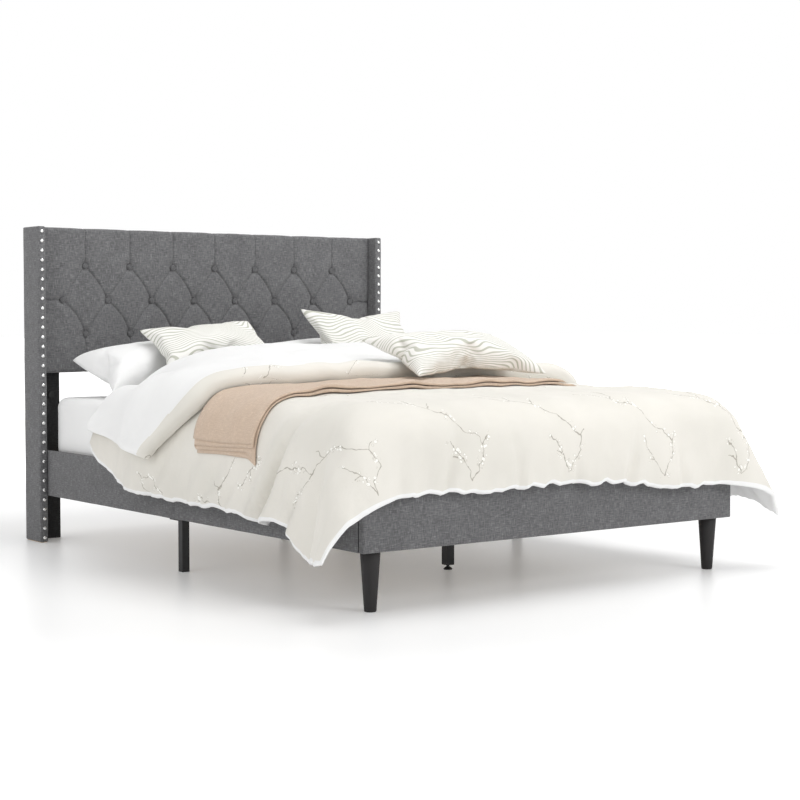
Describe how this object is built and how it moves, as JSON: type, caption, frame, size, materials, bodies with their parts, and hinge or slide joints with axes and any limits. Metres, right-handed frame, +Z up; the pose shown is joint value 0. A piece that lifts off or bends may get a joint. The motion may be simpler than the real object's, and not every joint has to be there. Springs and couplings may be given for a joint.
{
  "type": "upholstered headboard bed",
  "caption": "Full-size platform bed with a wingback, button-tufted upholstered headboard, wrapped rails, slats, tapered legs, mattress and made-up bedding.",
  "frame": {"origin": "on the floor, under the middle of the whole object's box", "axes": "+Z up, +Y towards the headboard, +X to the right seen from the foot"},
  "size_m": [1.755, 2.0752, 1.1065],
  "materials": {
    "linen": "grey heathered linen-look weave over thin foam",
    "dark_linen": "charcoal weave, matt",
    "lining": "black non-woven lining",
    "button_linen": "covered buttons in the same grey weave",
    "plywood": "raw plywood board",
    "pine": "raw planed pine",
    "black_wood": "black satin stain",
    "black_steel": "black powder coat",
    "black_plastic": "moulded, matt",
    "bright_nail": "bright nickel plate",
    "sheet_white": "white cotton percale",
    "comforter": "cream cotton with a blossom branch print, white underside",
    "throw": "tan brushed knit",
    "sham": "off-white cotton with fine wavy stripes"
  },
  "bodies": {
    "bed": {"headboard_tufted_pad": "linen", "foot_rail_cover": "linen", "left_wing_cover": "linen", "right_wing_cover": "linen", "left_head_rail_cover": "linen", "left_foot_rail_cover": "linen", "right_head_rail_cover": "linen", "right_foot_rail_cover": "linen", "left_headboard_post": "dark_linen", "right_headboard_post": "dark_linen", "headboard_back_lining": "lining", "tuft_button_row_top": "button_linen", "tuft_button_row_middle": "button_linen", "tuft_button_row_bottom": "button_linen", "headboard_board": "plywood", "foot_rail_board": "plywood", "left_wing_board": "plywood", "right_wing_board": "plywood", "left_head_rail_board": "plywood", "left_foot_rail_board": "plywood", "right_head_rail_board": "plywood", "right_foot_rail_board": "plywood", "head_cross_rail": "pine", "slat_01": "pine", "slat_02": "pine", "slat_03": "pine", "slat_04": "pine", "slat_05": "pine", "slat_06": "pine", "slat_07": "pine", "slat_08": "pine", "slat_09": "pine", "left_front_leg": "black_wood", "right_front_leg": "black_wood", "left_head_bracket": "black_steel", "left_foot_bracket": "black_steel", "left_rail_joint_plate": "black_steel", "left_support_leg": "black_steel", "right_head_bracket": "black_steel", "right_foot_bracket": "black_steel", "right_rail_joint_plate": "black_steel", "right_support_leg": "black_steel", "centre_beam_head": "black_steel", "centre_beam_foot": "black_steel", "centre_leg_head": "black_steel", "centre_leg_foot": "black_steel", "left_headboard_bolt": "black_plastic", "right_headboard_bolt": "black_plastic", "left_nail_trim": "bright_nail", "right_nail_trim": "bright_nail", "mattress": "sheet_white", "sleeping_pillow_left": "sheet_white", "sleeping_pillow_right": "sheet_white", "comforter": "comforter", "throw_blanket": "throw", "lumbar_pillow_left": "sham", "lumbar_pillow_right": "sham", "lumbar_pillow_front": "sham"},
    "glide_head": {"levelling_glide_head": "black_plastic"},
    "glide_foot": {"levelling_glide_foot": "black_plastic"}
  },
  "joints": [
    {"name": "glide_head_level", "type": "slide", "parent": "bed", "child": "glide_head", "axis": [0, 0, 1], "range_m": [-0.01, 0.004]},
    {"name": "glide_foot_level", "type": "slide", "parent": "bed", "child": "glide_foot", "axis": [0, 0, 1], "range_m": [-0.01, 0.004]}
  ]
}
